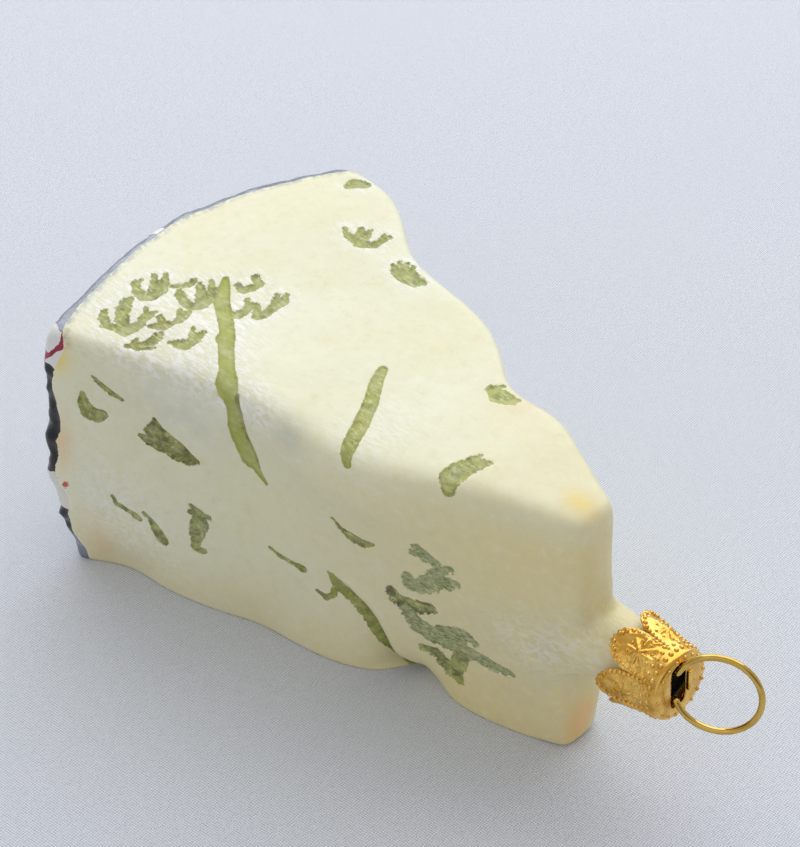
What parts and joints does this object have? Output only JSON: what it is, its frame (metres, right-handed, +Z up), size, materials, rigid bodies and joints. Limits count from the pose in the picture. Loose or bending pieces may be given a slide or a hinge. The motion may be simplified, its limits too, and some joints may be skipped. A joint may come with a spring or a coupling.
{
  "type": "glass cheese wedge ornament",
  "caption": "Blown-glass tree ornament shaped as a wedge of blue-veined cheese, with a gold petal cap and wire hanger at its thin end",
  "frame": {"origin": "on the flat base, under the middle of the neck, 37.3 mm in front of the rind's chord", "axes": "+X from the rind to the thin end, where the cap is; +Z up from the flat base; -Y is the near cut side with the fold"},
  "size_m": [0.1165, 0.0618, 0.0466],
  "materials": {
    "painted_glass": "opaque cream lacquer over silvered glass, satin",
    "gold_cap": "gold-coloured pressed sheet, bright",
    "gold_wire": "brass-coloured spring wire, bright"
  },
  "bodies": {
    "root": {"glass_wedge": "painted_glass", "petal_cap": "gold_cap", "wire_hanger": "gold_wire"}
  },
  "joints": []
}
